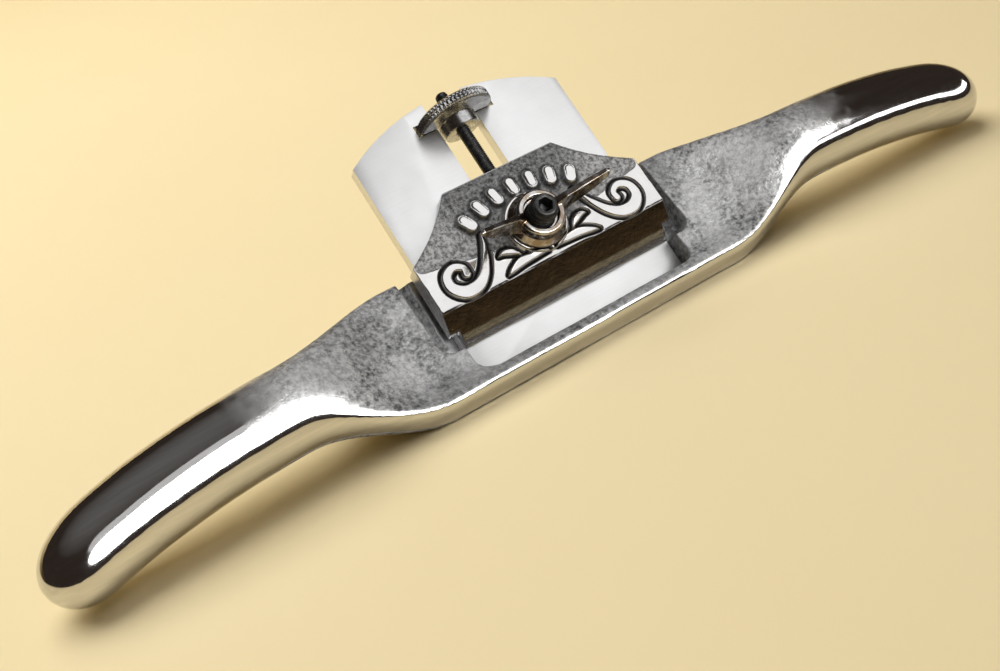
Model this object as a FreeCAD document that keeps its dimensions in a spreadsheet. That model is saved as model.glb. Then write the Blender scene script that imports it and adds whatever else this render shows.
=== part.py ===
import FreeCAD, Part
import math
import os
import Sketcher
from FreeCAD import Placement, Rotation, Vector

# Metal spokeshave, millimetres. +Z is up, +X runs along the handles and -Y is the cutting side.
# The origin is on the sole, under the middle of the cutting edge.
# Parts that lie on the sloping bed are built flat, with x across the blade, y up the blade and
# z away from its top face, and are then turned by bed_angle about X.

doc = FreeCAD.newDocument("spokeshave")
sheet = doc.addObject("Spreadsheet::Sheet", "sizes")

DIMENSIONS = [
    ("bed_angle", 45.0),
    ("bed_origin", 2.9),
    ("half_length", 119.6),
    ("toe_front", 6.4),
    ("toe_height", 6.0),
    ("sole_back", 17.5),
    ("shoulder_back", 20.2),
    ("shoulder_height", 20.6),
    ("bed_end", 25.0),
    ("bed_thickness", 4.8),
    ("shoulder_half", 36.5),
    ("grip_start", 66.0),
    ("grip_thickness", 17.8),
    ("grip_depth", 14.6),
    ("grip_tip_radius", 10.5),
    ("mouth_half", 28.0),
    ("mouth_front", 2.8),
    ("mouth_corner", 4.5),
    ("recess_half", 32.7),
    ("recess_start", 5.3),
    ("recess_corner", 3.0),
    ("groove_inner", 29.2),
    ("groove_depth", 1.8),
    ("blade_width", 54.0),
    ("blade_thickness", 3.2),
    ("blade_edge", 4.0),
    ("blade_side", 51.9),
    ("blade_top_radius", 52.0),
    ("blade_bevel", 5.4),
    ("slot_width", 10.2),
    ("slot_bottom", 10.0),
    ("stud_station", 21.7),
    ("stud_radius", 3.2),
    ("stud_top", 14.0),
    ("stud_socket", 3.0),
    ("thread_clearance", 0.05),
    ("lug_half", 4.6),
    ("lug_start", 26.0),
    ("lug_end", 33.0),
    ("lug_top", 2.2),
    ("rod_radius", 1.5),
    ("rod_end", 59.6),
    ("disc_station", 52.4),
    ("disc_radius", 9.4),
    ("disc_thickness", 2.6),
    ("disc_hub_radius", 4.4),
    ("disc_hub_length", 3.0),
    ("knurl_count", 48),
    ("notch_reach", 9.9),
    ("notch_gap", 0.15),
    ("cap_half", 29.2),
    ("cap_lip_half", 26.9),
    ("cap_lip", 5.5),
    ("cap_front", 12.9),
    ("cap_corner", 24.7),
    ("cap_top", 37.0),
    ("cap_top_half", 14.3),
    ("cap_height", 5.4),
    ("cap_back_height", 4.1),
    ("cap_gap", 0.3),
    ("cap_lip_gap", 0.05),
    ("cap_boss_radius", 7.0),
    ("cap_boss_top", 5.9),
    ("pellet_count", 7),
    ("pellet_length", 4.9),
    ("pellet_radius", 1.45),
    ("pellet_arc_radius", 29.7),
    ("pellet_arc_middle", 1.7),
    ("pellet_step_degrees", 9.0),
    ("nut_radius", 5.4),
    ("nut_top", 10.6),
    ("nut_mouth_radius", 3.95),
    ("nut_mouth_depth", 1.8),
    ("wing_reach", 16.5),
    ("wing_tip_height", 15.8),
]
for row, (alias, value) in enumerate(DIMENSIONS, start=1):
    sheet.set(f"A{row}", alias)
    sheet.set(f"B{row}", str(value))
    sheet.setAlias(f"B{row}", alias)
doc.recompute()


def size(alias):
    """One size from the sheet."""
    return float(sheet.get(alias))


def bed_placement():
    """Placement that lays a flat-built part on the sloping bed."""
    base = Vector(0, size("bed_origin"), size("bed_origin"))
    return Placement(base, Rotation(Vector(1, 0, 0), size("bed_angle")))


def bed_point(up, out):
    """World y and z of a point given up the blade and out from its top face."""
    moved = bed_placement().multVec(Vector(0, up, out))
    return moved.y, moved.z


def smooth(low, high, value):
    """Smooth step from 0 at low to 1 at high."""
    t = min(max((value - low) / (high - low), 0.0), 1.0)
    return t * t * (3.0 - 2.0 * t)


def through(points, value):
    """Height at value on a smooth curve through (position, height) pairs."""
    for index in range(len(points) - 1):
        start, end = points[index], points[index + 1]
        if value <= end[0] or index == len(points) - 2:
            before = points[max(index - 1, 0)]
            after = points[min(index + 2, len(points) - 1)]
            span = end[0] - start[0]
            t = (value - start[0]) / span
            slope_in = (end[1] - before[1]) / (end[0] - before[0]) * span
            slope_out = (after[1] - start[1]) / (after[0] - start[0]) * span
            a = 2 * t ** 3 - 3 * t ** 2 + 1
            b = t ** 3 - 2 * t ** 2 + t
            c = -2 * t ** 3 + 3 * t ** 2
            d = t ** 3 - t ** 2
            return a * start[1] + b * slope_in + c * end[1] + d * slope_out


# ---------------------------------------------------------------- casting

ARC_STEPS = 6
SIDE_STEPS = 3


def rounded_polygon(corners):
    """Points round a closed outline of (y, z, corner radius) corners."""
    points = []
    count = len(corners)
    for index in range(count):
        y, z, radius = corners[index]
        here = Vector(0, y, z)
        last = Vector(0, *corners[index - 1][:2])
        following = Vector(0, *corners[(index + 1) % count][:2])
        back = (last - here).normalize()
        ahead = (following - here).normalize()
        reach = radius / math.tan(back.getAngle(ahead) / 2)
        for step in range(ARC_STEPS + 1):
            t = step / ARC_STEPS
            start = here + back * reach
            end = here + ahead * reach
            points.append(start * (1 - t) ** 2 + here * (2 * t * (1 - t)) + end * t ** 2)
        next_y, next_z, next_radius = corners[(index + 1) % count]
        after = Vector(0, *corners[(index + 2) % count][:2])
        next_back = (here - following).normalize()
        next_ahead = (after - following).normalize()
        next_reach = next_radius / math.tan(next_back.getAngle(next_ahead) / 2)
        leave = here + ahead * reach
        arrive = following + next_back * next_reach
        for step in range(1, SIDE_STEPS):
            points.append(leave + (arrive - leave) * (step / SIDE_STEPS))
    return points


def shoulder_section():
    """Outline of the casting beside the blade: toe, sloping shoulder, back and sole."""
    back_y, back_z = bed_point(size("bed_end"), -size("blade_thickness") - size("bed_thickness"))
    under_y, under_z = bed_point(10.5, -size("blade_thickness") - size("bed_thickness"))
    return rounded_polygon([
        (2.2 - size("toe_front"), -0.6, 2.6),
        (-size("toe_front"), size("toe_height"), 2.0),
        (0.4, size("toe_height") + 0.5, 6.0),
        (size("shoulder_back"), size("shoulder_height"), 1.2),
        (back_y, back_z, 2.0),
        (under_y, under_z, 3.0),
        (size("sole_back"), -0.6, 1.2),
    ])


GRIP_ANGLES = [232, 190, 142, 66, 18, -22, -72]


def grip_section(centre_y, centre_z, long_radius, short_radius):
    """Oval outline of a handle, its long axis leaning back like the shoulder."""
    lean = math.radians(52)
    points = []
    count = len(GRIP_ANGLES)
    per_corner = ARC_STEPS + SIDE_STEPS
    for index in range(count):
        start = GRIP_ANGLES[index]
        end = GRIP_ANGLES[(index + 1) % count]
        if end > start:
            end -= 360
        before = GRIP_ANGLES[index - 1]
        if before < start:
            before += 360
        half_step = 0.3
        first = start + (before - start) * half_step
        last = start + (end - start) * (1 - half_step)
        for step in range(per_corner):
            angle = math.radians(first + (last - first) * step / per_corner)
            along = long_radius * math.cos(angle - lean)
            across = short_radius * math.sin(angle - lean)
            y = centre_y + along * math.cos(lean) - across * math.sin(lean)
            z = centre_z + along * math.sin(lean) + across * math.cos(lean)
            points.append(Vector(0, y, z))
    return points


GRIP_HEIGHT = [(36, 12.0), (48, 13.6), (62, 14.2), (72, 14.2), (84, 13.7), (96, 12.4),
               (106, 10.6), (114, 8.9), (124, 8.1)]
GRIP_SETBACK = [(36, 6.2), (62, 5.8), (84, 4.7), (102, 3.2), (114, 1.6), (124, 1.0)]
GRIP_THIN = [(36, 1.0), (66, 1.0), (94, 0.99), (106, 0.98), (114, 0.96), (124, 0.95)]


def body_section(station):
    """Outline of the casting at a distance from the middle."""
    mix = smooth(size("shoulder_half"), size("grip_start"), station)
    tip_radius = size("grip_tip_radius")
    past = max(0.0, station - (size("half_length") - tip_radius)) / tip_radius
    close = math.sqrt(max(0.0, 1.0 - past ** 2))
    thin = through(GRIP_THIN, station) * close
    long_radius = size("grip_thickness") / 2 * thin
    short_radius = size("grip_depth") / 2 * thin
    shoulder = shoulder_section()
    grip = grip_section(through(GRIP_SETBACK, station), through(GRIP_HEIGHT, station),
                        long_radius, short_radius)
    return [a * (1 - mix) + b * mix for a, b in zip(shoulder, grip)]


def section_wire(station, side):
    """Closed wire of one section on the +X or -X side, in one edge per corner."""
    points = [Vector(side * station, p.y, p.z) for p in body_section(station)]
    curve = Part.BSplineCurve()
    curve.interpolate(points, PeriodicFlag=True)
    knots = curve.getKnots()
    per_edge = ARC_STEPS + SIDE_STEPS
    cuts = [knots[index] for index in range(0, len(knots), per_edge)]
    return Part.Wire([curve.toShape(cuts[i], cuts[i + 1]) for i in range(len(cuts) - 1)])


def casting_blank():
    """Handles, shoulders and sole as one solid with a flat sole."""
    start = size("shoulder_half")
    tip_radius = size("grip_tip_radius")
    tip_start = size("half_length") - tip_radius
    grip_steps = 26
    grip_stations = [start + (tip_start - start) * i / grip_steps for i in range(grip_steps + 1)]
    tip_stations = [tip_start + tip_radius * math.sin(math.radians(angle))
                    for angle in (0, 12, 24, 36, 47, 57, 66, 74, 81, 87)]
    middle = Part.makeLoft([section_wire(start, -1), section_wire(start, 1)], True, True)
    pieces = []
    for side in (1, -1):
        grip = Part.makeLoft([section_wire(x, side) for x in grip_stations], True, False)
        tip = Part.makeLoft([section_wire(x, side) for x in tip_stations], True, True)
        pieces.extend([grip, tip])
    for piece in pieces:
        if piece.Volume < 0:
            piece.reverse()
    floor = Part.makeBox(300, 80, 20, Vector(-150, -40, -20))
    return middle.fuse(pieces).cut(floor)


blank = doc.addObject("Part::Feature", "casting_blank")
blank.Shape = casting_blank()


def sketch_on(body, role, name):
    """New sketch on one of a body's origin planes."""
    sketch = body.newObject("Sketcher::SketchObject", name)
    plane = [item for item in body.Origin.OriginFeatures if item.Role == role][0]
    sketch.AttachmentSupport = [(plane, "")]
    sketch.MapMode = "FlatFace"
    return sketch


def polygon(sketch, points):
    """Closed run of lines through (x, y) points."""
    count = len(points)
    for index in range(count):
        start = Vector(*points[index], 0)
        end = Vector(*points[(index + 1) % count], 0)
        sketch.addGeometry(Part.LineSegment(start, end), False)
    for index in range(count):
        sketch.addConstraint(Sketcher.Constraint("Coincident", index, 2, (index + 1) % count, 1))


def rounded_outline(points, radii):
    """Face of a closed outline of (x, y) corners, each with its corner radius."""
    edges = []
    count = len(points)
    tangents = []
    for index in range(count):
        here = Vector(*points[index], 0)
        back = (Vector(*points[index - 1], 0) - here).normalize()
        ahead = (Vector(*points[(index + 1) % count], 0) - here).normalize()
        radius = radii[index]
        reach = radius / math.tan(back.getAngle(ahead) / 2) if radius else 0.0
        start = here + back * reach
        end = here + ahead * reach
        tangents.append((start, end))
        if radius:
            bisector = (back + ahead).normalize()
            depth = radius / math.sin(back.getAngle(ahead) / 2) - radius
            middle = here + bisector * depth
            edges.append((index, Part.Arc(start, middle, end).toShape()))
    arcs = dict(edges)
    run = []
    for index in range(count):
        if index in arcs:
            run.append(arcs[index])
        leave = tangents[index][1]
        arrive = tangents[(index + 1) % count][0]
        if leave.distanceToPoint(arrive) > 1e-6:
            run.append(Part.LineSegment(leave, arrive).toShape())
    return Part.Face(Part.Wire(run))


def mouth_tool():
    """Space for the blade between the sides of the mouth, open above."""
    half = size("mouth_half")
    corner = size("mouth_corner")
    front = -size("mouth_front")
    outline = rounded_outline([(-half, front), (half, front), (half, 60), (-half, 60)],
                              [corner, corner, 0, 0])
    tool = outline.extrude(Vector(0, 0, 62))
    tool.translate(Vector(0, 0, -1))
    bed = Part.makeBox(80, 120, 80, Vector(-40, -60, -80 - size("blade_thickness")))
    bed.Placement = bed_placement().multiply(bed.Placement)
    return tool.cut(bed)


def recess_tool():
    """Wider part of the blade's recess, above the mouth."""
    half = size("recess_half")
    start = size("recess_start")
    corner = size("recess_corner")
    outline = rounded_outline([(-half, start), (half, start), (half, 60), (-half, 60)],
                              [corner, corner, 0, 0])
    tool = outline.extrude(Vector(0, 0, 40))
    tool.translate(Vector(0, 0, -size("blade_thickness")))
    tool.Placement = bed_placement().multiply(tool.Placement)
    return tool


def groove_tool(side):
    """V groove between the bed and one shoulder."""
    inner = size("groove_inner")
    outer = size("recess_half")
    top = -size("blade_thickness") + 0.01
    bottom = top - size("groove_depth")
    middle = (inner + outer) / 2
    profile = [Vector(side * x, size("recess_start") + 3, z)
               for x, z in ((inner, top), (middle, bottom), (outer, top))]
    face = Part.Face(Part.makePolygon(profile + profile[:1]))
    tool = face.extrude(Vector(0, 40, 0))
    tool.Placement = bed_placement()
    return tool


def lug_shape():
    """Lug that stands up through the blade's slot and holds the adjuster rod."""
    half = size("lug_half")
    under = -size("blade_thickness") - size("bed_thickness")
    start = size("lug_start")
    end = size("lug_end")
    top = size("lug_top")
    side_face = Part.Face(Part.makePolygon([
        Vector(-half, 16, under), Vector(-half, end - 3, under), Vector(-half, end, under + 3),
        Vector(-half, end, top - 0.8), Vector(-half, end - 0.8, top),
        Vector(-half, start + 0.8, top), Vector(-half, start, top - 0.8),
        Vector(-half, start, -size("blade_thickness") - 0.5),
        Vector(-half, 16, -size("blade_thickness") - 0.5), Vector(-half, 16, under)]))
    lug = side_face.extrude(Vector(2 * half, 0, 0))
    boss = Part.makeCylinder(7.2, 6, Vector(0, size("stud_station"), under - 3.5), Vector(0, 0, 1))
    shape = lug.fuse(boss).removeSplitter()
    shape.Placement = bed_placement()
    return shape


def bed_cylinder(radius, start, direction, length):
    """Cylinder given in the blade's own directions, laid on the bed."""
    shape = Part.makeCylinder(radius, length, start, direction)
    shape.Placement = bed_placement()
    return shape


def make_body():
    """The whole casting."""
    under = -size("blade_thickness") - size("bed_thickness")
    gap = size("thread_clearance")
    shape = blank.Shape.cut(mouth_tool())
    shape = shape.cut(recess_tool())
    for side in (1, -1):
        shape = shape.cut(groove_tool(side))
    shape = shape.fuse(lug_shape())
    stud_hole = bed_cylinder(size("stud_radius") + gap,
                             Vector(0, size("stud_station"), under - 5),
                             Vector(0, 0, 1), 12)
    rod_hole = bed_cylinder(size("rod_radius") + gap,
                            Vector(0, size("lug_start") - 1, 0), Vector(0, 1, 0), 10)
    shape = shape.cut(stud_hole).cut(rod_hole)
    return shape.removeSplitter()


body = doc.addObject("Part::Feature", "body")
body.Label = "body"
body.Shape = make_body()

# ---------------------------------------------------------------- blade


def blade_top(x):
    """Height of the blade's arched top at a distance from its middle."""
    radius = size("blade_top_radius")
    half = size("blade_width") / 2
    drop = math.sqrt(radius ** 2 - half ** 2)
    return size("blade_side") - drop + math.sqrt(radius ** 2 - x ** 2)


blade = doc.addObject("PartDesign::Body", "blade")
blade.Label = "blade"
plate_sketch = sketch_on(blade, "XY_Plane", "plate_outline")
half_blade = size("blade_width") / 2
edge = -size("blade_edge")
corners = [Vector(-half_blade, edge, 0), Vector(half_blade, edge, 0),
           Vector(half_blade, size("blade_side"), 0), Vector(-half_blade, size("blade_side"), 0)]
plate_sketch.addGeometry(Part.LineSegment(corners[0], corners[1]), False)
plate_sketch.addGeometry(Part.LineSegment(corners[1], corners[2]), False)
plate_sketch.addGeometry(Part.Arc(corners[2], Vector(0, blade_top(0), 0), corners[3]), False)
plate_sketch.addGeometry(Part.LineSegment(corners[3], corners[0]), False)
plate = blade.newObject("PartDesign::Pad", "plate")
plate.Profile = plate_sketch
plate.setExpression("Length", "sizes.blade_thickness")
plate.Reversed = True
doc.recompute()

slot_sketch = sketch_on(blade, "XY_Plane", "slot_outline")
slot_half = size("slot_width") / 2
slot_low = size("slot_bottom") + slot_half
notch_low = size("disc_station") - size("notch_gap")
notch_high = size("disc_station") + size("disc_thickness") + size("notch_gap")
reach = size("notch_reach")
right_side = [(slot_half, slot_low), (slot_half, notch_low), (reach, notch_low),
              (reach, notch_high), (slot_half, notch_high), (slot_half, 64)]
run = right_side + [(-x, y) for x, y in reversed(right_side)]
for index in range(len(run) - 1):
    slot_sketch.addGeometry(
        Part.LineSegment(Vector(*run[index], 0), Vector(*run[index + 1], 0)), False)
slot_sketch.addGeometry(Part.Arc(Vector(-slot_half, slot_low, 0),
                                 Vector(0, size("slot_bottom"), 0),
                                 Vector(slot_half, slot_low, 0)), False)
slot = blade.newObject("PartDesign::Pocket", "slot")
slot.Profile = slot_sketch
slot.Type = 1
slot.Midplane = True
doc.recompute()

bevel_sketch = sketch_on(blade, "YZ_Plane", "bevel_outline")
thickness = size("blade_thickness")
polygon(bevel_sketch, [(edge - 1, -0.05), (edge, -0.05), (edge + size("blade_bevel"), -thickness),
                       (edge + size("blade_bevel"), -thickness - 1), (edge - 1, -thickness - 1)])
bevel = blade.newObject("PartDesign::Pocket", "bevel")
bevel.Profile = bevel_sketch
bevel.Type = 1
bevel.Midplane = True
blade.Tip = bevel
blade.Placement = bed_placement()
doc.recompute()

# ---------------------------------------------------------------- lever cap


def cap_outline():
    """Plan of the lever cap, seen square on to the blade."""
    half = size("cap_half")
    lip_half = size("cap_lip_half")
    lip = size("cap_lip")
    step = 9.0
    corner = size("cap_corner")
    top = size("cap_top")
    top_half = size("cap_top_half")
    sweep = [Vector(half, corner, 0), Vector(25.6, 26.9, 0), Vector(21.0, 30.2, 0),
             Vector(17.2, 33.7, 0), Vector(top_half, top, 0)]
    right_curve = Part.BSplineCurve()
    right_curve.interpolate(sweep)
    left_curve = Part.BSplineCurve()
    left_curve.interpolate([Vector(-p.x, p.y, 0) for p in reversed(sweep)])
    lower = [(-half, corner), (-half, step), (-lip_half, step), (-lip_half, lip),
             (lip_half, lip), (lip_half, step), (half, step), (half, corner)]
    edges = [Part.LineSegment(Vector(*lower[i], 0), Vector(*lower[i + 1], 0)).toShape()
             for i in range(len(lower) - 1)]
    edges.append(right_curve.toShape())
    edges.append(Part.LineSegment(sweep[-1], Vector(-top_half, top, 0)).toShape())
    edges.append(left_curve.toShape())
    return Part.Face(Part.Wire(edges))


def cap_profile():
    """Side profile of the lever cap, swept across its whole width."""
    gap = size("cap_gap")
    lip = size("cap_lip")
    points = [(lip, size("cap_lip_gap")), (lip + 2.2, size("cap_lip_gap")), (lip + 3.0, gap),
              (38, gap), (38, size("cap_back_height") - 0.1), (size("cap_top") - 1.5,
              size("cap_back_height") + 0.25), (26, 5.0), (size("cap_front") + 0.6,
              size("cap_height")), (size("cap_front"), size("cap_height") - 0.25),
              (lip + 1.1, 1.5), (lip, 1.1)]
    wire = Part.makePolygon([Vector(-40, y, z) for y, z in points + points[:1]])
    return Part.Face(wire).extrude(Vector(80, 0, 0))


def pellet(angle):
    """One plain raised pellet on the lever cap, pointing along its angle round the arc."""
    outward = Vector(math.sin(angle), math.cos(angle), 0)
    middle = Vector(0, size("pellet_arc_middle"), size("cap_back_height") - 0.1)
    middle = middle + outward * size("pellet_arc_radius")
    half_long = size("pellet_length") / 2 - size("pellet_radius")
    start = middle - outward * half_long
    shape = Part.makeCylinder(size("pellet_radius"), 2 * half_long, start, outward)
    for end in (-1, 1):
        shape = shape.fuse(Part.makeSphere(size("pellet_radius"), middle + outward * end * half_long))
    return shape


def make_cap():
    """Lever cap with a boss under the nut and an arc of plain pellets."""
    stud = Vector(0, size("stud_station"), -1)
    gap = size("cap_gap")
    plan = cap_outline().extrude(Vector(0, 0, 12))
    shape = plan.common(cap_profile())
    boss = Part.makeCone(size("cap_boss_radius") + 1.5, size("cap_boss_radius"),
                         size("cap_boss_top") - 3.0,
                         Vector(0, size("stud_station"), 3.0), Vector(0, 0, 1))
    shape = shape.fuse(boss)
    count = int(size("pellet_count"))
    for index in range(count):
        turn = (index - (count - 1) / 2) * size("pellet_step_degrees")
        shape = shape.fuse(pellet(math.radians(turn)))
    channel = Part.makeBox(2 * (size("lug_half") + 0.6), 40, size("lug_top") + 0.3,
                           Vector(-size("lug_half") - 0.6, 16, 0))
    shape = shape.cut(channel)
    stud_hole = Part.makeCylinder(size("stud_radius") + 0.4, 20, stud, Vector(0, 0, 1))
    shape = shape.cut(stud_hole)
    return shape.removeSplitter()


cap = doc.addObject("Part::Feature", "lever_cap")
cap.Label = "lever_cap"
cap.Shape = make_cap()
cap.Placement = bed_placement()

# ---------------------------------------------------------------- stud, rod and nuts


def hexagon_prism(across, length, base):
    """Hexagonal prism along +Z, given across its flats."""
    radius = across / math.sqrt(3)
    points = [base + Vector(radius * math.cos(math.radians(60 * i)),
                            radius * math.sin(math.radians(60 * i)), 0) for i in range(7)]
    return Part.Face(Part.makePolygon(points)).extrude(Vector(0, 0, length))


def turned(profile, base, axis):
    """Solid turned about an axis from (radius, distance along the axis) pairs."""
    outward = Vector(1, 0, 0)
    points = [base + outward * radius + axis * along for radius, along in profile]
    face = Part.Face(Part.makePolygon(points + points[:1]))
    return face.revolve(base, axis, 360)


def ringed_rod(radius, length, pitch, depth, base, axis):
    """Rod with thread-like rings, as one turned profile."""
    root = radius - depth
    profile = [(0, 0), (root, 0)]
    for ring in range(int(length / pitch)):
        foot = ring * pitch
        profile.append((root, foot + 0.15 * pitch))
        profile.append((radius, foot + 0.4 * pitch))
        profile.append((radius, foot + 0.6 * pitch))
        profile.append((root, foot + 0.85 * pitch))
    profile.append((root, length))
    profile.append((0, length))
    return turned(profile, base, axis)


def make_stud():
    """Socket-headed stud that holds the lever cap down."""
    under = -size("blade_thickness") - size("bed_thickness") - 3.0
    station = size("stud_station")
    shape = ringed_rod(size("stud_radius"), size("stud_top") - under, 1.27, 0.45,
                       Vector(0, station, under), Vector(0, 0, 1))
    socket = hexagon_prism(size("stud_socket"), 5, Vector(0, station, size("stud_top") - 4))
    return shape.cut(socket)


stud = doc.addObject("Part::Feature", "cap_stud")
stud.Label = "cap_stud"
stud.Shape = make_stud()
stud.Placement = bed_placement()


def make_rod():
    """Threaded rod that the adjusting nut turns on."""
    start = size("lug_start") + 0.4
    return ringed_rod(size("rod_radius"), size("rod_end") - start, 0.5, 0.2,
                      Vector(0, start, 0), Vector(0, 1, 0))


rod = doc.addObject("Part::Feature", "adjuster_rod")
rod.Label = "adjuster_rod"
rod.Shape = make_rod()
rod.Placement = bed_placement()


def make_adjuster_nut():
    """Knurled disc with a hub on the side of the lever cap."""
    station = size("disc_station")
    radius = size("disc_radius")
    thick = size("disc_thickness")
    hub_radius = size("disc_hub_radius")
    hub_length = size("disc_hub_length")
    bore = size("rod_radius") + size("thread_clearance")
    profile = [(bore, -hub_length), (hub_radius - 0.5, -hub_length),
               (hub_radius, 0.5 - hub_length), (hub_radius, 0), (radius - 0.5, 0),
               (radius, 0.5), (radius, thick - 0.5), (radius - 0.5, thick), (bore, thick)]
    shape = turned(profile, Vector(0, station, 0), Vector(0, 1, 0))
    count = int(size("knurl_count"))
    cutters = []
    for index in range(count):
        angle = 2 * math.pi * index / count
        centre = Vector((radius + 0.3) * math.cos(angle), station - 0.5,
                        (radius + 0.3) * math.sin(angle))
        cutters.append(Part.makeCylinder(0.55, thick + 1, centre, Vector(0, 1, 0)))
    return shape.cut(cutters)


adjuster = doc.addObject("Part::Feature", "adjuster_nut")
adjuster.Label = "adjuster_nut"
adjuster.Shape = make_adjuster_nut()
adjuster.Placement = bed_placement()


def wing_section(x, top, low, half_thick):
    """Section of a wing at a distance from the nut's axis, with a ridge along its top."""
    station = size("stud_station")
    outline = [(half_thick, top - 0.25), (-0.15, top), (-half_thick, low + 0.5),
               (-0.6 * half_thick, low), (half_thick, low)]
    points = [Vector(x, station + up, out) for up, out in outline]
    return Part.makePolygon(points + points[:1])


def make_wing_nut():
    """Wing nut with a round hub, a counterbored mouth and two thin rising wings."""
    foot = size("cap_boss_top") + 0.05
    top = size("nut_top")
    radius = size("nut_radius")
    tip = size("wing_reach")
    tip_height = size("wing_tip_height")
    centre = Vector(0, size("stud_station"), 0)
    profile = [(0, foot), (radius + 1.1, foot), (radius + 1.1, foot + 0.6),
               (radius, foot + 2.0), (radius, top - 0.5), (radius - 0.5, top), (0, top)]
    shape = turned(profile, centre, Vector(0, 0, 1))
    stations = [(2.5, 9.8, 6.6, 1.6), (6.0, 12.4, 7.4, 1.25), (10.0, 13.9, 9.2, 1.05),
                (13.5, 14.9, 11.6, 0.95), (tip - 0.9, tip_height, 13.6, 0.8),
                (tip, tip_height - 0.1, tip_height - 0.9, 0.45)]
    wires = [wing_section(*station) for station in stations]
    wing = Part.makeLoft(wires, True, True)
    other = wing.mirror(Vector(0, 0, 0), Vector(1, 0, 0))
    shape = shape.fuse([wing, other])
    bore = Part.makeCylinder(size("stud_radius") + size("thread_clearance"), 30,
                             centre - Vector(0, 0, 5), Vector(0, 0, 1))
    mouth = Part.makeCylinder(size("nut_mouth_radius"), 10,
                              centre + Vector(0, 0, top - size("nut_mouth_depth")),
                              Vector(0, 0, 1))
    return shape.cut(bore).cut(mouth).removeSplitter()


wing_nut = doc.addObject("Part::Feature", "wing_nut")
wing_nut.Label = "wing_nut"
wing_nut.Shape = make_wing_nut()
wing_nut.Placement = bed_placement()

# ---------------------------------------------------------------- checks and export

doc.recompute()
os.makedirs("parts", exist_ok=True)
for item in doc.Objects:
    if "Invalid" in item.State or "Error" in item.State:
        raise RuntimeError(f"{item.Label} has an error: {item.State}")
for item in (body, blade, cap, stud, rod, adjuster, wing_nut):
    if item.Shape.isNull() or not item.Shape.isValid():
        raise RuntimeError(f"{item.Label} has a bad shape")
    if len(item.Shape.Solids) != 1:
        raise RuntimeError(f"{item.Label} has {len(item.Shape.Solids)} solids")
    item.Shape.exportStep(f"parts/{item.Label}.step")
    box = item.Shape.optimalBoundingBox()
    print(item.Label, "volume", round(item.Shape.Volume, 1), "mm3, box",
          [round(v, 2) for v in (box.XMin, box.YMin, box.ZMin, box.XMax, box.YMax, box.ZMax)])
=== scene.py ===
"""Metal spokeshave: the looks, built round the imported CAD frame. Metres, +Z up, cutting side -Y."""

import math

import bmesh
import bpy
import numpy as np
from mathutils import Matrix, Vector


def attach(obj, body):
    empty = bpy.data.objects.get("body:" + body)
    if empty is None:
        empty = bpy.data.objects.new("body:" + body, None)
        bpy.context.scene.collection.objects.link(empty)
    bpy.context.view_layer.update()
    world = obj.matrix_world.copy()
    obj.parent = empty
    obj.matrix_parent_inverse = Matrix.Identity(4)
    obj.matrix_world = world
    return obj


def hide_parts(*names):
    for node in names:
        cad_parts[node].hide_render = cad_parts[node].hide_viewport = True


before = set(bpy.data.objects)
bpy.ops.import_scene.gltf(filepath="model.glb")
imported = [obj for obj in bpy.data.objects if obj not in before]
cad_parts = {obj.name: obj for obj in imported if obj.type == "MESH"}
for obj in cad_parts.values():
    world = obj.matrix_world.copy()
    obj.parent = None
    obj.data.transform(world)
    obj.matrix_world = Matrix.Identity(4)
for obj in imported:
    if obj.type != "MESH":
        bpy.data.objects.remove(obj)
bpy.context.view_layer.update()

MM = 0.001
BED_ORIGIN = 2.9 * MM    # height and depth of the point where the blade's top face starts
BED_ANGLE = math.radians(45)
STUD_STATION = 21.7      # millimetres up the bed
DISC_STATION = 52.4
OUT_OF_BED = np.array([0, -math.sin(BED_ANGLE), math.cos(BED_ANGLE)])


# ---------------------------------------------------------------- numbers and coordinates


def smooth_step(low, high, value):
    """0 below low, 1 above high, smooth between."""
    t = np.clip((value - low) / (high - low), 0.0, 1.0)
    return t * t * (3.0 - 2.0 * t)


def to_bed(points):
    """World metres to bed millimetres: across the blade, up the blade, out of its top face."""
    y = points[:, 1] / MM - BED_ORIGIN / MM
    z = points[:, 2] / MM - BED_ORIGIN / MM
    cos, sin = math.cos(BED_ANGLE), math.sin(BED_ANGLE)
    return np.stack([points[:, 0] / MM, y * cos + z * sin, z * cos - y * sin], axis=1)


def bed_matrix(up, out):
    """Matrix that puts a mesh built round the origin, in metres, at a place on the bed."""
    place = Matrix.Translation((0, BED_ORIGIN, BED_ORIGIN)) @ Matrix.Rotation(BED_ANGLE, 4, "X")
    return place @ Matrix.Translation((0, up * MM, out * MM))


def value_noise(points, cell, seed):
    """Smooth noise from -1 to 1 with bumps about one cell wide."""
    scaled = points / cell
    corner = np.floor(scaled).astype(np.int64)
    part = scaled - corner
    weight = part * part * (3.0 - 2.0 * part)
    total = np.zeros(len(points))
    for dx in (0, 1):
        for dy in (0, 1):
            for dz in (0, 1):
                x = corner[:, 0] + dx
                y = corner[:, 1] + dy
                z = corner[:, 2] + dz
                mixed = (x * 73856093) ^ (y * 19349663) ^ (z * 83492791) ^ (seed * 2654435761)
                mixed = (mixed ^ (mixed >> 13)) * 1274126177
                value = ((mixed ^ (mixed >> 16)) & 0xFFFF) / 32767.5 - 1.0
                share = np.where(dx, weight[:, 0], 1 - weight[:, 0])
                share = share * np.where(dy, weight[:, 1], 1 - weight[:, 1])
                share = share * np.where(dz, weight[:, 2], 1 - weight[:, 2])
                total += share * value
    return total


# ---------------------------------------------------------------- mesh tools


def vertex_array(mesh):
    """The mesh's vertices as rows."""
    flat = np.empty(len(mesh.vertices) * 3)
    mesh.vertices.foreach_get("co", flat)
    return flat.reshape(-1, 3)


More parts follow.
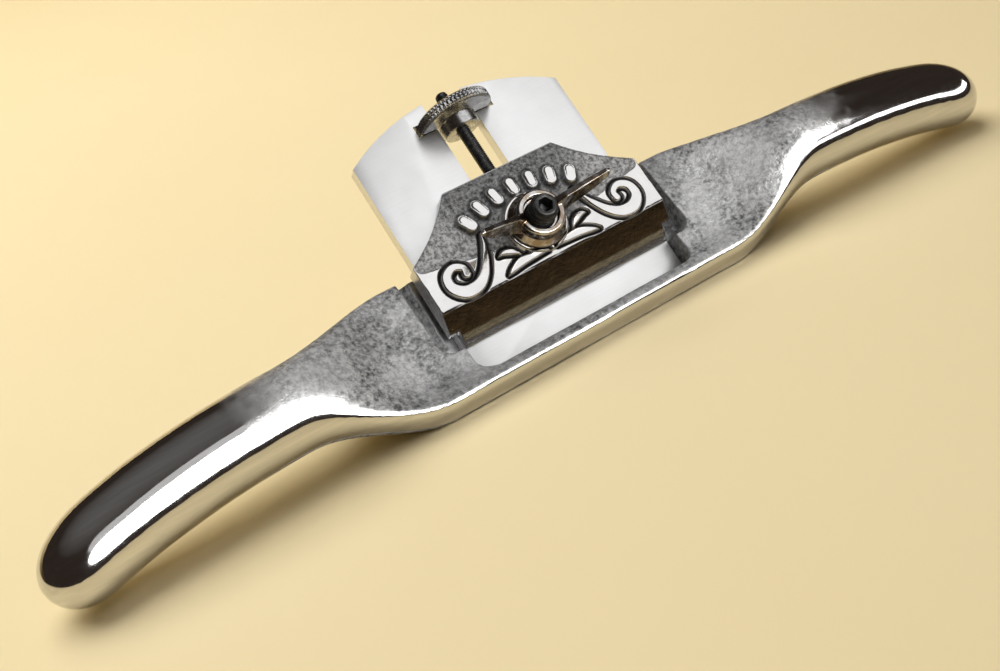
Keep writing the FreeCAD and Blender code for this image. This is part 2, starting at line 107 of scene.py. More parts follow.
def normal_array(mesh):
    """The mesh's vertex normals as rows."""
    flat = np.empty(len(mesh.vertices) * 3)
    mesh.vertex_normals.foreach_get("vector", flat)
    return flat.reshape(-1, 3)


def store_vertices(mesh, points):
    """Moves the mesh's vertices to these rows."""
    mesh.vertices.foreach_set("co", points.ravel())
    mesh.update()


def store_value(mesh, name, values):
    """Keeps one number at each vertex, for the material."""
    attribute = mesh.attributes.new(name, "FLOAT", "POINT")
    attribute.data.foreach_set("value", np.asarray(values, dtype=np.float32))


def new_piece(name, mesh, node, body):
    """Object for a mesh that stands for a CAD node."""
    piece = bpy.data.objects.new(name, mesh)
    bpy.context.scene.collection.objects.link(piece)
    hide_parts(node)
    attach(piece, body)
    return piece


def cad_copy(node):
    """Closed copy of a CAD node's mesh."""
    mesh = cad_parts[node].data.copy()
    mesh.materials.clear()
    work = bmesh.new()
    work.from_mesh(mesh)
    bmesh.ops.remove_doubles(work, verts=work.verts, dist=2e-6)
    work.to_mesh(mesh)
    work.free()
    for name in [a.name for a in mesh.attributes if not a.is_internal and a.name != "position"]:
        if name not in ("material_index", "sharp_face", "sharp_edge"):
            mesh.attributes.remove(mesh.attributes[name])
    return mesh


def remeshed(node, voxel, rounds):
    """CAD node as an even mesh of small quads with softened edges."""
    mesh = cad_copy(node)
    holder = bpy.data.objects.new(node + "_work", mesh)
    bpy.context.scene.collection.objects.link(holder)
    remesh = holder.modifiers.new("even", "REMESH")
    remesh.mode = "VOXEL"
    remesh.voxel_size = voxel * MM
    remesh.adaptivity = 0
    soften = holder.modifiers.new("soften", "SMOOTH")
    soften.factor = 0.5
    soften.iterations = rounds
    graph = bpy.context.evaluated_depsgraph_get()
    result = bpy.data.meshes.new_from_object(holder.evaluated_get(graph))
    bpy.data.objects.remove(holder)
    result.materials.clear()
    return result


def smoothed_where(mesh, weights, rounds):
    """The mesh smoothed further where the weights are above 0."""
    holder = bpy.data.objects.new("smooth_work", mesh)
    bpy.context.scene.collection.objects.link(holder)
    group = holder.vertex_groups.new(name="where")
    for level in range(1, 11):
        chosen = np.flatnonzero(np.round(weights * 10) == level)
        group.add([int(i) for i in chosen], level / 10, "REPLACE")
    smooth = holder.modifiers.new("smooth", "SMOOTH")
    smooth.factor = 0.5
    smooth.iterations = rounds
    smooth.vertex_group = "where"
    graph = bpy.context.evaluated_depsgraph_get()
    result = bpy.data.meshes.new_from_object(holder.evaluated_get(graph))
    bpy.data.objects.remove(holder)
    return result


def shade(mesh, angle=None):
    """Smooth shading, with sharp edges above an angle in degrees if one is given."""
    mesh.shade_smooth()
    if angle is not None:
        mesh.set_sharp_from_angle(angle=math.radians(angle))


def turned_rings(name, rings, closed=True):
    """Mesh from rings of equal count, joined by quads, with fans over closed ends."""
    count = len(rings[0])
    work = bmesh.new()
    rows = [[work.verts.new(p) for p in ring] for ring in rings]
    for low, high in zip(rows, rows[1:]):
        for i in range(count):
            j = (i + 1) % count
            work.faces.new((low[i], low[j], high[j], high[i]))
    for row in (rows[0], rows[-1]) if closed else ():
        middle = sum((v.co for v in row), Vector()) / count
        hub = work.verts.new(middle)
        for i in range(count):
            work.faces.new((row[i], row[(i + 1) % count], hub))
    bmesh.ops.recalc_face_normals(work, faces=work.faces)
    mesh = bpy.data.meshes.new(name)
    work.to_mesh(mesh)
    work.free()
    return mesh


# ---------------------------------------------------------------- materials


class Nodes:
    """Short calls for building one material's nodes."""

    def __init__(self, name):
        self.material = bpy.data.materials.new(name)
        self.material.use_nodes = True
        self.tree = self.material.node_tree
        self.shader = self.tree.nodes["Principled BSDF"]

    def add(self, kind, **inputs):
        """New node with values or links on its inputs."""
        node = self.tree.nodes.new(kind)
        self.fill(node, inputs)
        return node

    def fill(self, node, inputs):
        """Sets or links a node's inputs by name."""
        for name, value in inputs.items():
            self.join(node.inputs[name], value)

    def position(self):
        """Place on the object, in metres."""
        return self.add("ShaderNodeTexCoord").outputs["Object"]

    def vertex_value(self, name):
        """A number kept at the vertices."""
        node = self.tree.nodes.new("ShaderNodeAttribute")
        node.attribute_name = name
        return node.outputs["Fac"]

    def stretched(self, scale):
        """Place on the object, turned to the bed and scaled."""
        node = self.add("ShaderNodeMapping", Vector=self.position())
        node.inputs["Rotation"].default_value = (-BED_ANGLE, 0, 0)
        node.inputs["Scale"].default_value = scale
        return node.outputs["Vector"]

    def noise(self, vector, scale, detail=4.0, roughness=0.55, distortion=0.0):
        """Noise from 0 to 1."""
        node = self.add("ShaderNodeTexNoise", Vector=vector, Scale=scale, Detail=detail,
                        Roughness=roughness, Distortion=distortion)
        return node.outputs["Fac"]

    def cells(self, vector, scale):
        """Distance to the nearest of scattered points."""
        return self.add("ShaderNodeTexVoronoi", Vector=vector, Scale=scale).outputs["Distance"]

    def spread(self, value, low, high, to_low, to_high):
        """Maps a range of numbers to another, held at its ends."""
        node = self.tree.nodes.new("ShaderNodeMapRange")
        self.tree.links.new(value, node.inputs["Value"])
        node.inputs["From Min"].default_value = low
        node.inputs["From Max"].default_value = high
        node.inputs["To Min"].default_value = to_low
        node.inputs["To Max"].default_value = to_high
        return node.outputs["Result"]

    def math(self, operation, first, second):
        """Arithmetic on two numbers or links."""
        node = self.tree.nodes.new("ShaderNodeMath")
        node.operation = operation
        for socket, value in zip(node.inputs, (first, second)):
            self.join(socket, value)
        return node.outputs["Value"]

    def mix_number(self, share, first, second):
        """First where share is 0, second where it is 1."""
        node = self.tree.nodes.new("ShaderNodeMix")
        node.data_type = "FLOAT"
        self.join(node.inputs[0], share)
        self.join(node.inputs[2], first)
        self.join(node.inputs[3], second)
        return node.outputs[0]

    def mix_colour(self, share, first, second):
        """First colour where share is 0, second where it is 1."""
        node = self.tree.nodes.new("ShaderNodeMix")
        node.data_type = "RGBA"
        self.join(node.inputs[0], share)
        self.join(node.inputs[6], first)
        self.join(node.inputs[7], second)
        return node.outputs[2]

    def join(self, socket, value):
        """Links or sets one socket."""
        if isinstance(value, bpy.types.NodeSocket):
            self.tree.links.new(value, socket)
        else:
            socket.default_value = value

    def bump(self, height, distance, strength=1.0, under=None):
        """Surface detail from a height, on top of another bump if one is given."""
        node = self.add("ShaderNodeBump", Height=height, Distance=distance, Strength=strength)
        if under is not None:
            self.tree.links.new(under, node.inputs["Normal"])
        return node.outputs["Normal"]

    def finish(self, **inputs):
        """Fills the shader and gives the material."""
        self.fill(self.shader, inputs)
        return self.material


def grey(level, warmth=0.0):
    """Near-grey colour, a little warm for a positive warmth."""
    return (level * (1 + warmth), level, level * (1 - warmth), 1.0)


def casting_material():
    """Iron casting: speckled skin on the shoulders, bright polish on handles, toe and sole."""
    n = Nodes("cast_and_polished_iron")
    where = n.position()
    polish = n.vertex_value("polish")
    milled = n.vertex_value("milled")
    broad = n.noise(where, 90, 3)
    speckle = n.noise(where, 900, 5, 0.7)
    pits = n.cells(where, 1500)
    skin_tone = n.mix_colour(n.spread(speckle, 0.38, 0.62, 0, 1), grey(0.05), grey(0.46))
    skin_tone = n.mix_colour(n.spread(broad, 0.42, 0.66, 0, 0.5), skin_tone, grey(0.52))
    blotches = n.noise(where, 45, 2)
    skin_tone = n.mix_colour(n.spread(blotches, 0.35, 0.6, 0.5, 0), skin_tone, grey(0.10))
    scratches = n.noise(n.stretched((40, 900, 900)), 1.0, 3)
    polished_tone = n.mix_colour(n.spread(scratches, 0.35, 0.65, 0, 1),
                                 grey(0.60, 0.012), grey(0.68, 0.012))
    milled_tone = n.mix_colour(n.noise(n.stretched((300, 2500, 900)), 1.0, 2),
                               grey(0.26), grey(0.42))
    skin_rough = n.spread(speckle, 0.3, 0.7, 0.6, 0.42)
    polished_rough = n.spread(n.noise(where, 500, 4), 0.35, 0.65, 0.055, 0.095)
    tone = n.mix_colour(polish, n.mix_colour(milled, skin_tone, milled_tone), polished_tone)
    rough = n.mix_number(polish, n.mix_number(milled, skin_rough, 0.34), polished_rough)
    raw = n.math("MULTIPLY", n.math("SUBTRACT", 1.0, polish), n.math("SUBTRACT", 1.0, milled))
    grain = n.bump(n.math("MULTIPLY", speckle, raw), 0.00009)
    pitted = n.bump(n.math("MULTIPLY", n.spread(pits, 0.0, 0.5, 0, 1), raw), 0.00004, 1.0, grain)
    fine = n.bump(scratches, 0.000002, 1.0, pitted)
    metal = n.spread(raw, 0.0, 1.0, 1.0, 0.62)
    return n.finish(**{"Base Color": tone, "Metallic": metal, "Roughness": rough,
                       "Normal": fine})


def cap_material():
    """Cap casting: grainy ground, polished relief, painted shade in the grooves, painted brown
    reflection on the front slope.
    """
    n = Nodes("cap_iron")
    where = n.position()
    polish = n.vertex_value("polish")
    groove_shade = n.vertex_value("groove_shade")
    speckle = n.noise(where, 1300, 5, 0.7)
    ground = n.mix_colour(n.spread(speckle, 0.36, 0.64, 0, 1), grey(0.035), grey(0.30))
    # The ground is lighter towards the sides and the lip where this mask is high.
    ground = n.mix_colour(n.vertex_value("lightened"), ground,
                          n.mix_colour(n.spread(speckle, 0.4, 0.6, 0, 1), grey(0.14), grey(0.5)))
    bright = n.mix_colour(n.noise(where, 260, 4), grey(0.56, 0.01), grey(0.70, 0.01))
    # Painted shade: the grooves and the moats round the pellets are painted near black.
    tone = n.mix_colour(groove_shade, n.mix_colour(polish, ground, bright), grey(0.025))
    rough = n.mix_number(polish, n.spread(speckle, 0.3, 0.7, 0.5, 0.32),
                         n.spread(n.noise(where, 700, 4), 0.3, 0.7, 0.13, 0.2))
    rough = n.mix_number(groove_shade, rough, 0.75)
    slope = n.vertex_value("slope")
    specks = n.spread(n.cells(where, 420), 0.04, 0.1, 1, 0)
    # Painted reflection: the front slope's dark brown stands in for the dark brown room seen in it.
    brown = n.mix_colour(n.noise(where, 160, 4), (0.06, 0.045, 0.032, 1), (0.13, 0.10, 0.075, 1))
    # Painted lighter band near the lip, part of the same painted reflection.
    lip = n.vertex_value("lip")
    brown = n.mix_colour(lip, brown, grey(0.34, 0.03))
    brown = n.mix_colour(n.math("MULTIPLY", specks, 0.5), brown, grey(0.45))
    tone = n.mix_colour(slope, tone, brown)
    rough = n.mix_number(slope, rough, 0.26)
    raw = n.math("SUBTRACT", 1.0, polish)
    grain = n.bump(n.math("MULTIPLY", speckle, raw), 0.00018)
    waves = n.bump(n.noise(where, 260, 3), 0.00009, 1.0, grain)
    metal = n.spread(n.math("MAXIMUM", polish, slope), 0.0, 1.0, 0.6, 1.0)
    return n.finish(**{"Base Color": tone, "Metallic": metal, "Roughness": rough,
                       "Normal": waves})


def blade_material():
    """Ground tool steel with fine grinding marks across the blade."""
    n = Nodes("ground_steel")
    marks = n.noise(n.stretched((60, 5200, 5200)), 1.0, 3)
    clouds = n.noise(n.position(), 140, 4)
    tone = n.mix_colour(n.spread(marks, 0.3, 0.7, 0, 1), grey(0.74), grey(0.80))
    rough = n.math("ADD", n.spread(clouds, 0.3, 0.7, 0.3, 0.36),
                   n.spread(marks, 0.3, 0.7, 0, 0.06))
    return n.finish(**{"Base Color": tone, "Metallic": 1.0, "Roughness": rough,
                       "Normal": n.bump(marks, 0.000006)})


def polished_material():
    """Polished wing nut with faint tool marks and random patches of painted brown reflection."""
    n = Nodes("polished_steel")
    where = n.position()
    # Painted reflection: random brown patches stand in for the brown room seen in the polish.
    brown_reflection = n.noise(where, 420, 4)
    tone = n.mix_colour(n.spread(brown_reflection, 0.4, 0.62, 0, 0.85), grey(0.50, 0.02),
                        (0.22, 0.15, 0.09, 1))
    rough = n.spread(n.noise(where, 900, 4), 0.3, 0.7, 0.1, 0.2)
    return n.finish(**{"Base Color": tone, "Metallic": 1.0, "Roughness": rough,
                       "Normal": n.bump(n.noise(where, 500, 3), 0.00002)})


def black_material():
    """Black oxide finish of the stud and rod, worn a little on the thread crests."""
    n = Nodes("black_oxide")
    where = n.position()
    lightened = n.noise(where, 900, 4)
    tone = n.mix_colour(n.spread(lightened, 0.5, 0.75, 0, 1), grey(0.012), grey(0.05, 0.02))
    rough = n.spread(lightened, 0.3, 0.7, 0.38, 0.26)
    return n.finish(**{"Base Color": tone, "Metallic": 0.6, "Roughness": rough,
                       "Normal": n.bump(lightened, 0.00001)})


def nickel_material():
    """Bright plated steel of the adjusting nut."""
    n = Nodes("plated_steel")
    where = n.position()
    dull = n.noise(where, 800, 5, 0.7)
    tone = n.mix_colour(n.spread(dull, 0.35, 0.7, 0, 1), grey(0.56), grey(0.30))
    rough = n.spread(dull, 0.3, 0.7, 0.16, 0.32)
    return n.finish(**{"Base Color": tone, "Metallic": 1.0, "Roughness": rough,
                       "Normal": n.bump(dull, 0.000012)})


def floor_material():
    """Pale warm matt table top."""
    n = Nodes("pale_table")
    cloud = n.noise(n.position(), 6, 4)
    tone = n.mix_colour(cloud, (0.82, 0.68, 0.40, 1), (0.86, 0.73, 0.45, 1))
    return n.finish(**{"Base Color": tone, "Roughness": 0.6})


# ---------------------------------------------------------------- casting


CASTING_VOXEL = 0.36
HANDLE_SMOOTHING = 45
RIPPLE_HEIGHT = 0.07
RECESS_HALF = 33.2


def cast_ripple(points):
    """Slow unevenness of a sand-cast skin, about -1 to 1."""
    return (0.6 * value_noise(points, 5.0 * MM, 3) + 0.3 * value_noise(points, 2.2 * MM, 5)
            + 0.25 * value_noise(points, 1.1 * MM, 7))


def casting_zones(points, normals):
    """How polished and how milled each vertex of the casting is, from 0 to 1."""
    bed = to_bed(points)
    across = np.abs(points[:, 0]) / MM
    ragged = 4.0 * value_noise(points, 6 * MM, 11) + 2.0 * value_noise(points, 1.5 * MM, 13)
    handles = smooth_step(62, 80, across + ragged)
    toe = smooth_step(0.7, 0.88, -normals[:, 1])
    sole = smooth_step(0.85, 0.97, -normals[:, 2])
    polish = np.maximum.reduce([handles, toe, sole])
    in_recess = (across < RECESS_HALF) & (bed[:, 2] < -0.8) & (bed[:, 1] > 1.0)
    milled = np.where(in_recess, smooth_step(0.8, 0.95, normals @ OUT_OF_BED), 0.0)
    return polish, milled


def make_casting():
    """Handles, shoulders, bed and sole."""
    mesh = remeshed("body", CASTING_VOXEL, 4)
    across = np.abs(vertex_array(mesh)[:, 0]) / MM
    mesh = smoothed_where(mesh, smooth_step(42, 62, across), HANDLE_SMOOTHING)
    points = vertex_array(mesh)
    normals = normal_array(mesh)
    polish, milled = casting_zones(points, normals)
    raw = (1 - polish) * (1 - milled)
    lift = RIPPLE_HEIGHT * MM * cast_ripple(points) * raw
    points = points + normals * lift[:, None]
    points[:, 2] = np.maximum(points[:, 2], 0.0)
    store_vertices(mesh, points)
    store_value(mesh, "polish", polish)
    store_value(mesh, "milled", milled)
    shade(mesh)
    mesh.materials.append(casting_material())
    return new_piece("casting", mesh, "body", "casting")


# ---------------------------------------------------------------- lever cap

# Paths of (across, up, half width) in millimetres, drawn on the right and mirrored.
SCROLL = [(12.2, 25.0, 0.35), (13.0, 22.4, 0.7), (14.4, 19.6, 1.0), (16.3, 16.9, 1.3),
          (18.9, 15.1, 1.6), (22.0, 15.0, 1.7), (24.2, 17.0, 1.5), (24.0, 19.7, 1.3),
          (21.8, 21.0, 1.1), (19.8, 20.0, 1.0), (19.8, 18.4, 1.1)]
LEAVES = [
    [(1.2, 14.9, 0.3), (4.2, 15.3, 0.9), (7.4, 15.4, 1.2), (10.3, 14.6, 0.8), (12.0, 13.9, 0.2)],
    [(6.9, 16.9, 0.3), (8.4, 18.2, 0.9), (10.2, 18.9, 0.8), (11.6, 18.6, 0.2)],
]
PELLET_COUNT = 7
PELLET_STEP = math.radians(9.0)
PELLET_ARC_MIDDLE = 1.7
PELLET_ARC_RADIUS = 29.7
PELLET_HALF_WIDTH = 1.45
PELLET_REACH = 1.0       # from a pellet's middle to the centre of its round end
CAP_VOXEL = 0.19
CAP_FRONT = 13.0         # where the cap's front slope meets its top


def dense_path(points, steps):
    """A path of (across, up, half width) points, filled in on a smooth curve."""
    known = np.array(points)
    padded = np.vstack([2 * known[0] - known[1], known, 2 * known[-1] - known[-2]])
    rows = []
    for i in range(1, len(padded) - 2):
        before, start, end, after = padded[i - 1:i + 3]
        for step in range(steps):
            t = step / steps
            rows.append(0.5 * (2 * start + (end - before) * t
                               + (2 * before - 5 * start + 4 * end - after) * t ** 2
                               + (3 * start - before - 3 * end + after) * t ** 3))
    rows.append(known[-1])
    return np.array(rows)


def distance_to_band(x, up, path):
    """Distance outside the edge of a band of varying width, negative inside it."""
    best = np.full(len(x), 1e9)
    for start, end in zip(path, path[1:]):
        line = end[:2] - start[:2]
        along = ((x - start[0]) * line[0] + (up - start[1]) * line[1]) / max(line @ line, 1e-12)
        along = np.clip(along, 0, 1)
        gap = np.hypot(x - start[0] - along * line[0], up - start[1] - along * line[1])
        best = np.minimum(best, gap - (start[2] + along * (end[2] - start[2])))
    return best


def distance_to_pellets(x, up):
    """Distance outside the nearest of the plain pellets on their arc."""
    best = np.full(len(x), 1e9)
    for index in range(PELLET_COUNT):
        angle = (index - (PELLET_COUNT - 1) / 2) * PELLET_STEP
        outward = np.array([math.sin(angle), math.cos(angle)])
        middle = np.array([0, PELLET_ARC_MIDDLE]) + PELLET_ARC_RADIUS * outward
        ends = [np.append(middle + side * PELLET_REACH * outward, PELLET_HALF_WIDTH)
                for side in (-1, 1)]
        best = np.minimum(best, distance_to_band(x, up, ends))
    return best


def cap_relief(bed):
    """Height change in millimetres, polish and painted groove shade over the top of the lever cap."""
    x = np.abs(bed[:, 0])
    up = bed[:, 1]
    from_stud = np.hypot(bed[:, 0], up - STUD_STATION)
    bands = [dense_path(path, 6) for path in [SCROLL] + LEAVES]
    edge = np.minimum.reduce([distance_to_band(x, up, band) for band in bands])
    raised = smooth_step(0.15, -0.55, edge)
    groove = smooth_step(0.7, 0.25, edge) * (1 - smooth_step(0.1, -0.3, edge))
    ground_start = 19.5 + 0.17 * np.clip(x - 8, 0, 30)
    ground = smooth_step(ground_start - 0.5, ground_start + 0.5, up)
    ground = ground * smooth_step(29.4, 28.2, x + 0.6 * np.clip(24 - up, 0, 10))
    ground = ground * smooth_step(7.0, 8.0, from_stud)
    pellets = distance_to_pellets(bed[:, 0], up)
    pellet_face = smooth_step(0.12, -0.3, pellets)
    pellet_moat = smooth_step(0.9, 0.35, pellets) * (1 - pellet_face)
    # Grooves and pellet moats, where shade is painted.
    hollow = np.maximum(groove, 0.6 * pellet_moat)
    ground = ground * (1 - raised) * (1 - pellet_face)
    height = 0.28 * raised - 0.75 * groove - 0.42 * ground - 0.15 * pellet_moat
    cap_top = 5.0 - 0.062 * (up - 26)
    flat_pellet = cap_top - bed[:, 2] - 0.42 + 1.15 * pellet_face
    height = np.where(pellets < 0.6, flat_pellet, height)
    polish = np.clip(1 - ground - pellet_moat, 0, 1)
    return height, polish, np.clip(hollow, 0, 1)


def make_lever_cap():
    """Lever cap with polished scrolls, leaves and pellets on a grainy ground."""
    mesh = remeshed("lever_cap", CAP_VOXEL, 2)
    points = vertex_array(mesh)
    bed = to_bed(points)
    outward = normal_array(mesh) @ OUT_OF_BED
    facing = smooth_step(0.6, 0.85, outward) * smooth_step(2.6, 3.4, bed[:, 2])
    top = facing * smooth_step(CAP_FRONT - 0.4, CAP_FRONT + 0.4, bed[:, 1])
    height, polish, groove_shade = cap_relief(bed)
    rough = 0.10 * cast_ripple(points) * (1 - polish)
    waves = 0.09 * value_noise(points, 4.0 * MM, 17)
    lift = (height + rough + waves) * top * MM
    # Front slope, where the painted brown reflection goes.
    slope = smooth_step(CAP_FRONT + 0.3, CAP_FRONT - 0.3, bed[:, 1])
    slope = slope * smooth_step(6.4, 7.0, bed[:, 1]) * smooth_step(0.2, 0.5, outward)
    # Mask that lightens the ground towards the sides and the lip.
    lightened = smooth_step(10, 21, np.abs(bed[:, 0]) - 0.4 * (bed[:, 1] - 30))
    store_vertices(mesh, points + OUT_OF_BED * lift[:, None])
    store_value(mesh, "polish", np.where(top > 0.5, polish, 0.8))
    # Painted shade in the grooves, kept at the vertices for the material.
    store_value(mesh, "groove_shade", groove_shade * top)
    store_value(mesh, "slope", slope)
    store_value(mesh, "lightened", lightened)
    # Where the painted lighter band at the lip goes.
    store_value(mesh, "lip", smooth_step(8.2, 7.7, bed[:, 1]) * slope)
    shade(mesh)
    mesh.materials.append(cap_material())
    return new_piece("lever_cap_casting", mesh, "lever_cap", "cap")


# ---------------------------------------------------------------- blade, nuts and screws


BLADE_EDGE = 0.12


def make_blade():
    """Ground blade with its edges just broken."""
    mesh = cad_copy("blade")
    work = bmesh.new()
    work.from_mesh(mesh)
    bmesh.ops.dissolve_limit(work, angle_limit=math.radians(1.0), verts=work.verts,
                             edges=work.edges)
    sharp = [e for e in work.edges if len(e.link_faces) == 2
             and e.calc_face_angle() > math.radians(40)]
    bmesh.ops.bevel(work, geom=sharp, offset=BLADE_EDGE * MM, segments=2, profile=0.6,
                    affect="EDGES", clamp_overlap=True)
    work.to_mesh(mesh)
    work.free()
    shade(mesh, 25)
    mesh.materials.append(blade_material())
    return new_piece("blade_plate", mesh, "blade", "iron")


WING_NUT_VOXEL = 0.13


def make_wing_nut():
    """Polished wing nut with soft edges."""
    mesh = remeshed("wing_nut", WING_NUT_VOXEL, 3)
    shade(mesh)
    mesh.materials.append(polished_material())
    return new_piece("clamping_nut", mesh, "wing_nut", "clamp_nut")


THREAD_SIDES = 40
ROWS_PER_TURN = 10
STUD_TOP = 14.0
STUD_RADIUS = 3.2
STUD_FOOT = -10.9
STUD_PITCH = 1.27
SOCKET_ACROSS = 3.0
ROD_RADIUS = 1.5
ROD_PITCH = 0.5
ROD_START, ROD_END = 26.4, 59.6
KNURL_SIDES = 240        # points round the disc
KNURL_COUNT = 60         # diamonds round the disc


def thread_rings(radius, depth, pitch, start, end):
    """Rings of a screw thread along +Z, in millimetres, with plain chamfered ends."""
    rings = []
    rows = round((end - start) / pitch * ROWS_PER_TURN)
    for row in range(rows + 1):
        height = start + (end - start) * row / rows
        fade = min(1.0, (height - start) / pitch, (end - height) / pitch)
        ring = []
        for side in range(THREAD_SIDES):
            turn = side / THREAD_SIDES
            phase = (height / pitch - turn) % 1.0
            crest = abs(2 * phase - 1)
            groove = depth * min(max(1.35 * crest - 0.2, 0.0), 1.0)
            r = (radius - depth + (depth - groove) * fade)
            angle = 2 * math.pi * turn
            ring.append(Vector((r * math.cos(angle), r * math.sin(angle), height)) * MM)
        rings.append(ring)
    return rings


def round_ring(radius, height):
    """Plain ring in millimetres."""
    return [Vector((radius * math.cos(2 * math.pi * i / THREAD_SIDES),
                    radius * math.sin(2 * math.pi * i / THREAD_SIDES), height)) * MM
            for i in range(THREAD_SIDES)]


def hexagon_ring(across, height):
    """Ring that follows a hexagon, given across its flats."""
    ring = []
    for i in range(THREAD_SIDES):
        angle = 2 * math.pi * i / THREAD_SIDES
        flat = (angle % (math.pi / 3)) - math.pi / 6
        r = across / 2 / math.cos(flat)
        ring.append(Vector((r * math.cos(angle), r * math.sin(angle), height)) * MM)
    return ring


def make_stud(material):
    """Threaded stud with a hexagon socket."""
    rings = thread_rings(STUD_RADIUS, 0.5, STUD_PITCH, STUD_FOOT, STUD_TOP - 0.45)
    rings += [round_ring(2.55, STUD_TOP - 0.12), round_ring(2.4, STUD_TOP),
              round_ring(1.95, STUD_TOP), hexagon_ring(SOCKET_ACROSS + 0.05, STUD_TOP - 0.08),
              hexagon_ring(SOCKET_ACROSS, STUD_TOP - 0.25),
              hexagon_ring(SOCKET_ACROSS, STUD_TOP - 3.4), round_ring(0.8, STUD_TOP - 3.9)]
    mesh = turned_rings("stud_mesh", rings)
    mesh.transform(bed_matrix(STUD_STATION, 0))
    shade(mesh, 50)
    mesh.materials.append(material)
    return new_piece("socket_stud", mesh, "cap_stud", "casting")


def make_rod(material):
    """Threaded rod of the adjuster, along the bed."""
    rings = thread_rings(ROD_RADIUS, 0.16, ROD_PITCH, ROD_START, ROD_END - 0.3)
    rings += [round_ring(ROD_RADIUS - 0.45, ROD_END)]
    mesh = turned_rings("rod_mesh", rings)
    mesh.transform(Matrix.Rotation(-math.pi / 2, 4, "X"))
    mesh.transform(bed_matrix(0, 0))
    shade(mesh, 60)
    mesh.materials.append(material)
    return new_piece("threaded_rod", mesh, "adjuster_rod", "casting")


def knurl_cut(turn, along):
    """Depth of the diamond knurl at a share of a turn and a height on the rim."""
    lean = along * 0.42
    nearest = min(abs(((turn * KNURL_COUNT + side * lean) % 1.0) - 0.5) for side in (1, -1))
    return 0.30 * max(0.0, 1 - nearest / 0.32)


def disc_ring(radius, along, knurled):
    """Ring of the disc round its axis, which runs along +Y here."""
    ring = []
    for side in range(KNURL_SIDES):
        turn = side / KNURL_SIDES
        r = radius - knurl_cut(turn, along) if knurled else radius
        angle = 2 * math.pi * turn
        ring.append(Vector((r * math.cos(angle), along, r * math.sin(angle))) * MM)
    return ring


def make_adjusting_nut():
    """Knurled disc with a short polished hub."""
    rim, thick, hub_radius, hub, bore = 9.3, 2.6, 4.4, 3.0, 1.6
    front = [(bore, -hub + 0.4), (bore + 0.4, -hub), (hub_radius - 0.45, -hub),
             (hub_radius - 0.12, -hub + 0.12), (hub_radius, -hub + 0.45),
             (hub_radius, -0.5), (hub_radius + 0.15, -0.15), (hub_radius + 0.6, 0.0),
             (rim - 0.9, 0.0), (rim - 0.5, 0.06)]
    back = [(rim - 0.5, thick - 0.06), (rim - 0.9, thick), (bore + 0.5, thick),
            (bore, thick - 0.4)]
    rings = [disc_ring(r, along, False) for r, along in front]
    rings += [disc_ring(rim, 0.4 + (thick - 0.8) * row / 16, True) for row in range(17)]
    rings += [disc_ring(r, along, False) for r, along in back]
    mesh = turned_rings("disc_mesh", rings, closed=False)
    work = bmesh.new()
    work.from_mesh(mesh)
    open_edges = [e for e in work.edges if len(e.link_faces) == 1]
    bmesh.ops.bridge_loops(work, edges=open_edges)
    bmesh.ops.recalc_face_normals(work, faces=work.faces)
    work.to_mesh(mesh)
    work.free()
    mesh.transform(bed_matrix(DISC_STATION, 0))
    shade(mesh, 40)
    mesh.materials.append(nickel_material())
    return new_piece("knurled_disc", mesh, "adjuster_nut", "depth_nut")


# ---------------------------------------------------------------- studio


STAGE_HALF_WIDTH = 3.0
FLOOR_FRONT = -0.13      # nearer than this, the table doesn't show in the polish
BACK_WALL, FRONT_WALL = 0.7, -2.2
LOW_WALL, HIGH_WALL = 0.26, 1.6
BACKDROP_BEND = 0.12


def stage_strip(name, profile, material):
    """Strip of table top along x, following (y, z) points."""
    vertices = [(side * STAGE_HALF_WIDTH, y, z) for y, z in profile for side in (-1, 1)]
    faces = [(2 * i, 2 * i + 1, 2 * i + 3, 2 * i + 2) for i in range(len(profile) - 1)]
    mesh = bpy.data.meshes.new(name)
    mesh.from_pydata(vertices, [], faces)
    mesh.shade_smooth()
    mesh.materials.append(material)
    strip = bpy.data.objects.new(name, mesh)
    bpy.context.scene.collection.objects.link(strip)
    return strip


def backdrop_profile(y, height, side):
    """Quarter bend from the table top into a wall at y, on the side given by a sign."""
    start = y - side * BACKDROP_BEND
    profile = []
    for step in range(13):
        angle = math.radians(90 * step / 12)
        profile.append((start + side * BACKDROP_BEND * math.sin(angle),
                        BACKDROP_BEND * (1 - math.cos(angle))))
    return profile + [(y, height)]


def make_floor():
    """Pale plain table top and backdrop; only the part near the shave shows in its polish."""
    material = floor_material()
    behind = [(FLOOR_FRONT, 0.0)] + backdrop_profile(BACK_WALL, LOW_WALL, 1)
    ahead = backdrop_profile(FRONT_WALL, HIGH_WALL, -1)[::-1] + [(FLOOR_FRONT, 0.0)]
    above = [(BACK_WALL, LOW_WALL), (BACK_WALL, HIGH_WALL)]
    stage_strip("table", behind, material)
    stage_strip("table_front", ahead, material).visible_glossy = False
    stage_strip("backdrop", above, material).visible_glossy = False


def aim(thing, target):
    """Turns a light or camera to look at a point."""
    thing.rotation_euler = (Vector(target) - thing.location).to_track_quat("-Z", "Y").to_euler()


def softbox(name, azimuth, elevation, distance, width, depth, radiance, shape="RECTANGLE"):
    """Area light in a direction from the object; azimuth 0 is -Y and 90 is +X."""
    a, e = math.radians(azimuth), math.radians(elevation)
    light = bpy.data.lights.new(name, "AREA")
    light.shape = shape
    light.size = width
    light.size_y = depth
    light.energy = radiance * math.pi * width * depth
    thing = bpy.data.objects.new(name, light)
    thing.location = Vector((math.sin(a) * math.cos(e), -math.cos(a) * math.cos(e),
                             math.sin(e))) * distance
    aim(thing, (0, 0.01, 0.01))
    bpy.context.scene.collection.objects.link(thing)
    return thing


def light_only(light, pieces):
    """Keeps a light to some pieces."""
    lit = bpy.data.collections.new("lit_by_" + light.name)
    for piece in pieces:
        lit.objects.link(piece)
    light.light_linking.receiver_collection = lit


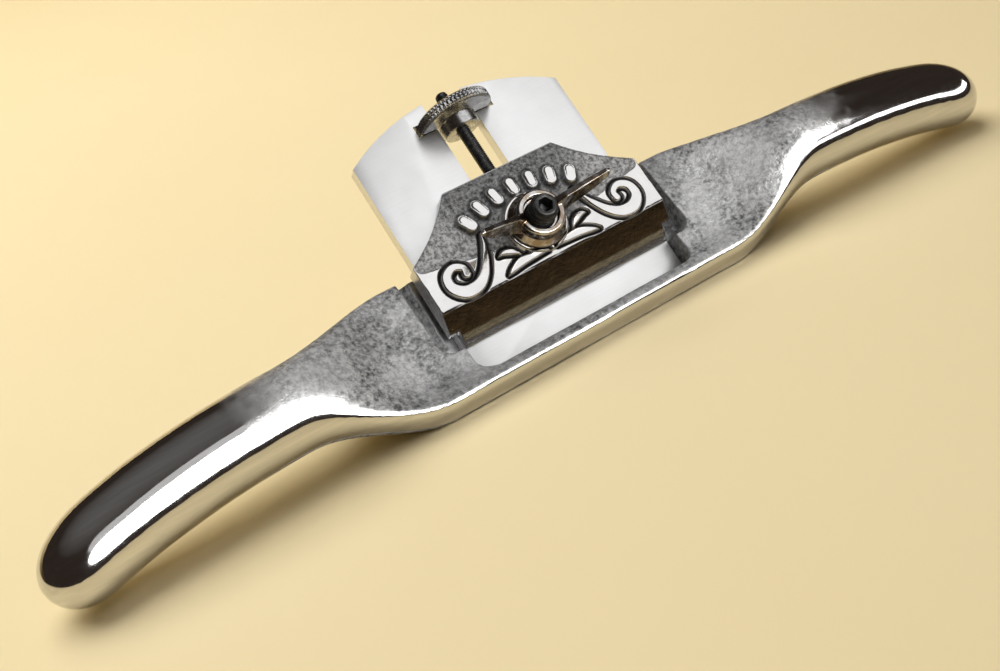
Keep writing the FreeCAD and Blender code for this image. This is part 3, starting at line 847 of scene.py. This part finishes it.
def make_lights(casting, flat_pieces, small_pieces):
    """Front panel and strip seen in the polish, ceiling for the flat steel, light on the table."""
    front = softbox("front_panel", 12, 27, 0.9, 0.95, 0.62, 7.0, "ELLIPSE")
    light_only(front, [casting] + small_pieces)
    glow = softbox("upper_glow", 10, 44, 0.95, 0.9, 0.5, 0.5, "ELLIPSE")
    light_only(glow, [casting])
    strip = softbox("side_strip", 58, 11, 0.9, 0.85, 0.10, 4.0)
    light_only(strip, [casting])
    ceiling = softbox("ceiling_box", 45, 53, 0.85, 1.0, 0.9, 1.25)
    light_only(ceiling, flat_pieces + small_pieces)
    top = softbox("top_light", 205, 62, 0.9, 0.9, 0.9, 4.6)
    top.visible_glossy = False


def make_room():
    """Dark warm surroundings that turn grey overhead."""
    world = bpy.data.worlds.new("room")
    world.use_nodes = True
    tree = world.node_tree
    place = tree.nodes.new("ShaderNodeTexCoord")
    split = tree.nodes.new("ShaderNodeSeparateXYZ")
    rise = tree.nodes.new("ShaderNodeMapRange")
    rise.inputs["From Min"].default_value = 0.7
    rise.inputs["From Max"].default_value = 1.0
    tone = tree.nodes.new("ShaderNodeMix")
    tone.data_type = "RGBA"
    tone.inputs[6].default_value = (0.034, 0.025, 0.020, 1)
    tone.inputs[7].default_value = (0.14, 0.135, 0.13, 1)
    tree.links.new(place.outputs["Generated"], split.inputs["Vector"])
    tree.links.new(split.outputs["Z"], rise.inputs["Value"])
    tree.links.new(rise.outputs["Result"], tone.inputs[0])
    tree.links.new(tone.outputs[2], tree.nodes["Background"].inputs["Color"])
    bpy.context.scene.world = world


def make_camera():
    """Camera in front and to the left of the shave, looking down on it."""
    place = Vector((-0.10699, -0.18580, 0.13412))
    across = Vector((0.82188, -0.52423, -0.22292))
    down = Vector((-0.44469, -0.34585, -0.82622))
    ahead = Vector((0.35603, 0.77818, -0.51737))
    camera = bpy.data.cameras.new("camera")
    camera.sensor_width = 36
    camera.lens = 42.35
    camera.clip_start = 0.01
    camera.shift_x = 0.0012
    camera.shift_y = -0.0006
    view = bpy.data.objects.new("camera", camera)
    turn = Matrix((across, -down, -ahead)).transposed()
    view.matrix_world = Matrix.Translation(place) @ turn.to_4x4()
    bpy.context.scene.collection.objects.link(view)
    bpy.context.scene.camera = view


casting = make_casting()
flat_pieces = [make_lever_cap(), make_blade(), make_adjusting_nut()]
black = black_material()
small_pieces = [make_wing_nut(), make_stud(black), make_rod(black)]
make_floor()
make_lights(casting, flat_pieces, small_pieces)
make_room()
make_camera()

bpy.context.scene.view_settings.view_transform = "Standard"
